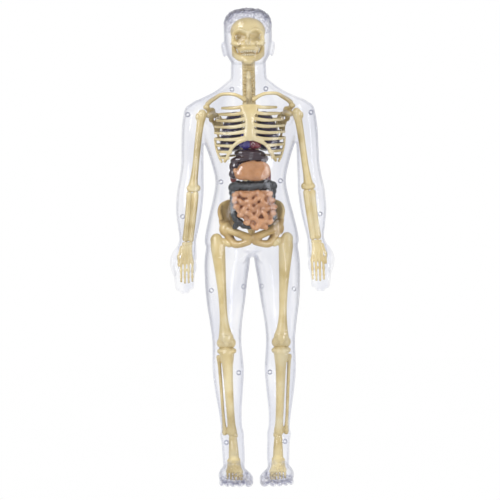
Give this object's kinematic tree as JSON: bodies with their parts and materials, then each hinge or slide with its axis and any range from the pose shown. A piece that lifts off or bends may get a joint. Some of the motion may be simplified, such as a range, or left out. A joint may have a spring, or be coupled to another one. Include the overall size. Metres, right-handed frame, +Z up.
{
  "type": "clear anatomy figure",
  "caption": "Standing clear anatomy figure: two-half transparent body shell with a yellow skeleton and removable coloured organs inside.",
  "frame": {"origin": "on the surface it stands on, at the centre of the bounding box seen from above", "axes": "+Z up from soles to head, figure faces -Y, its left side is +X"},
  "size_m": [0.193, 0.098, 0.566],
  "materials": {
    "clear_plastic": "clear polished polystyrene",
    "bone_plastic": "satin ivory-yellow vinyl",
    "airway_plastic": "satin",
    "gullet_plastic": "satin",
    "heart_red": "gloss painted, one side blue",
    "lung_plastic": "gloss",
    "liver_maroon": "high gloss",
    "stomach_tan": "high gloss",
    "colon_charcoal": "gloss",
    "intestine_tan": "gloss",
    "kidney_brown": "gloss"
  },
  "bodies": {
    "back_shell": {"back_shell_head": "clear_plastic", "back_shell_torso": "clear_plastic", "back_shell_left_arm": "clear_plastic", "back_shell_left_leg": "clear_plastic", "back_shell_right_arm": "clear_plastic", "back_shell_right_leg": "clear_plastic", "snap_sockets": "clear_plastic"},
    "skeleton": {"skull": "bone_plastic", "mandible": "bone_plastic", "neck_vertebrae": "bone_plastic", "spine": "bone_plastic", "rib_cage_back": "bone_plastic", "pelvis": "bone_plastic", "windpipe": "airway_plastic", "gullet": "gullet_plastic", "left_clavicle": "bone_plastic", "left_scapula": "bone_plastic", "left_humerus": "bone_plastic", "left_forearm_bones": "bone_plastic", "left_hand_bones": "bone_plastic", "left_femur": "bone_plastic", "left_kneecap": "bone_plastic", "left_shin_bones": "bone_plastic", "left_foot_bones": "bone_plastic", "right_clavicle": "bone_plastic", "right_scapula": "bone_plastic", "right_humerus": "bone_plastic", "right_forearm_bones": "bone_plastic", "right_hand_bones": "bone_plastic", "right_femur": "bone_plastic", "right_kneecap": "bone_plastic", "right_shin_bones": "bone_plastic", "right_foot_bones": "bone_plastic"},
    "front_shell": {"front_shell_head": "clear_plastic", "front_shell_torso": "clear_plastic", "front_shell_left_arm": "clear_plastic", "front_shell_left_leg": "clear_plastic", "front_shell_right_arm": "clear_plastic", "front_shell_right_leg": "clear_plastic", "snap_pins": "clear_plastic"},
    "front_ribs": {"rib_cage_front": "bone_plastic"},
    "heart": {"heart": "heart_red"},
    "left_lung": {"left_lung": "lung_plastic"},
    "right_lung": {"right_lung": "lung_plastic"},
    "liver": {"liver": "liver_maroon"},
    "stomach": {"stomach": "stomach_tan"},
    "large_intestine": {"large_intestine": "colon_charcoal"},
    "small_intestine": {"small_intestine": "intestine_tan"},
    "left_kidney": {"left_kidney": "kidney_brown"},
    "right_kidney": {"right_kidney": "kidney_brown"}
  },
  "joints": [
    {"name": "front_shell_lift", "type": "slide", "parent": "back_shell", "child": "front_shell", "axis": [0, -1, 0], "range_m": [0, 0.2]},
    {"name": "skeleton_lift", "type": "slide", "parent": "back_shell", "child": "skeleton", "axis": [0, -1, 0], "range_m": [0, 0.031]},
    {"name": "left_kidney_lift", "type": "slide", "parent": "back_shell", "child": "left_kidney", "axis": [0, -1, 0], "range_m": [0, 0.051]},
    {"name": "right_kidney_lift", "type": "slide", "parent": "back_shell", "child": "right_kidney", "axis": [0, -1, 0], "range_m": [0, 0.051]},
    {"name": "left_lung_lift", "type": "slide", "parent": "back_shell", "child": "left_lung", "axis": [0, -1, 0], "range_m": [0, 0.071]},
    {"name": "right_lung_lift", "type": "slide", "parent": "back_shell", "child": "right_lung", "axis": [0, -1, 0], "range_m": [0, 0.071]},
    {"name": "liver_lift", "type": "slide", "parent": "back_shell", "child": "liver", "axis": [0, -1, 0], "range_m": [0, 0.091]},
    {"name": "heart_lift", "type": "slide", "parent": "back_shell", "child": "heart", "axis": [0, -1, 0], "range_m": [0, 0.101]},
    {"name": "large_intestine_lift", "type": "slide", "parent": "back_shell", "child": "large_intestine", "axis": [0, -1, 0], "range_m": [0, 0.111]},
    {"name": "stomach_lift", "type": "slide", "parent": "back_shell", "child": "stomach", "axis": [0, -1, 0], "range_m": [0, 0.131]},
    {"name": "small_intestine_lift", "type": "slide", "parent": "back_shell", "child": "small_intestine", "axis": [0, -1, 0], "range_m": [0, 0.131]},
    {"name": "front_ribs_lift", "type": "slide", "parent": "back_shell", "child": "front_ribs", "axis": [0, -1, 0], "range_m": [0, 0.161]}
  ],
  "couplings": [
    {"joint": "skeleton_lift", "follows": "front_shell_lift", "ratio": 0.15},
    {"joint": "left_kidney_lift", "follows": "front_shell_lift", "ratio": 0.25},
    {"joint": "right_kidney_lift", "follows": "front_shell_lift", "ratio": 0.25},
    {"joint": "left_lung_lift", "follows": "front_shell_lift", "ratio": 0.35},
    {"joint": "right_lung_lift", "follows": "front_shell_lift", "ratio": 0.35},
    {"joint": "liver_lift", "follows": "front_shell_lift", "ratio": 0.45},
    {"joint": "heart_lift", "follows": "front_shell_lift", "ratio": 0.5},
    {"joint": "large_intestine_lift", "follows": "front_shell_lift", "ratio": 0.55},
    {"joint": "stomach_lift", "follows": "front_shell_lift", "ratio": 0.65},
    {"joint": "small_intestine_lift", "follows": "front_shell_lift", "ratio": 0.65},
    {"joint": "front_ribs_lift", "follows": "front_shell_lift", "ratio": 0.8}
  ]
}
